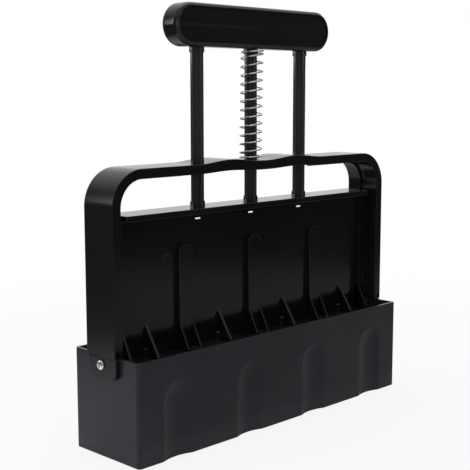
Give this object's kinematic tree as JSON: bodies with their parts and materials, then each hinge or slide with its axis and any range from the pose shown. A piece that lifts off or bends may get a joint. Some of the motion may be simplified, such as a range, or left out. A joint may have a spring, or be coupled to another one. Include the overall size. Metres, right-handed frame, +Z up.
{
  "type": "soil blocker",
  "caption": "Hand-held soil block maker: an open-bottomed cell mould with a hoop handle and a spring-loaded T-handle plunger that pushes out the pressed blocks.",
  "frame": {"origin": "middle of the mould box's underside, at the level it stands on", "axes": "+Z up, along the rods towards the T handle; +X along the row of cells; -Y is the front, where the panel's ribs are"},
  "size_m": [0.2384, 0.0556, 0.2515],
  "materials": {
    "mould_plastic": "satin black, fine grain",
    "frame_plastic": "semi-gloss black",
    "handle_plastic": "glossy black",
    "steel": "bright zinc plated steel"
  },
  "bodies": {
    "mould": {"mould_box": "mould_plastic", "arch_frame": "frame_plastic", "return_spring": "steel", "side_screw_left": "steel", "side_screw_right": "steel", "side_nut_left": "steel", "side_nut_right": "steel"},
    "plunger": {"plunger_panel": "frame_plastic", "press_plate_1": "mould_plastic", "press_plate_2": "mould_plastic", "press_plate_3": "mould_plastic", "press_plate_4": "mould_plastic", "dimple_pin_1": "mould_plastic", "dimple_pin_2": "mould_plastic", "dimple_pin_3": "mould_plastic", "dimple_pin_4": "mould_plastic", "rod_left": "frame_plastic", "rod_centre": "frame_plastic", "rod_right": "frame_plastic", "handle_body": "handle_plastic", "handle_cover": "handle_plastic", "handle_screws": "steel"}
  },
  "joints": [
    {"name": "plunger_press", "type": "slide", "parent": "mould", "child": "plunger", "axis": [0, 0, -1], "range_m": [0, 0.0505], "stiffness_N_per_m": 360, "springref_m": -0.01, "deforming": ["return_spring"]}
  ]
}
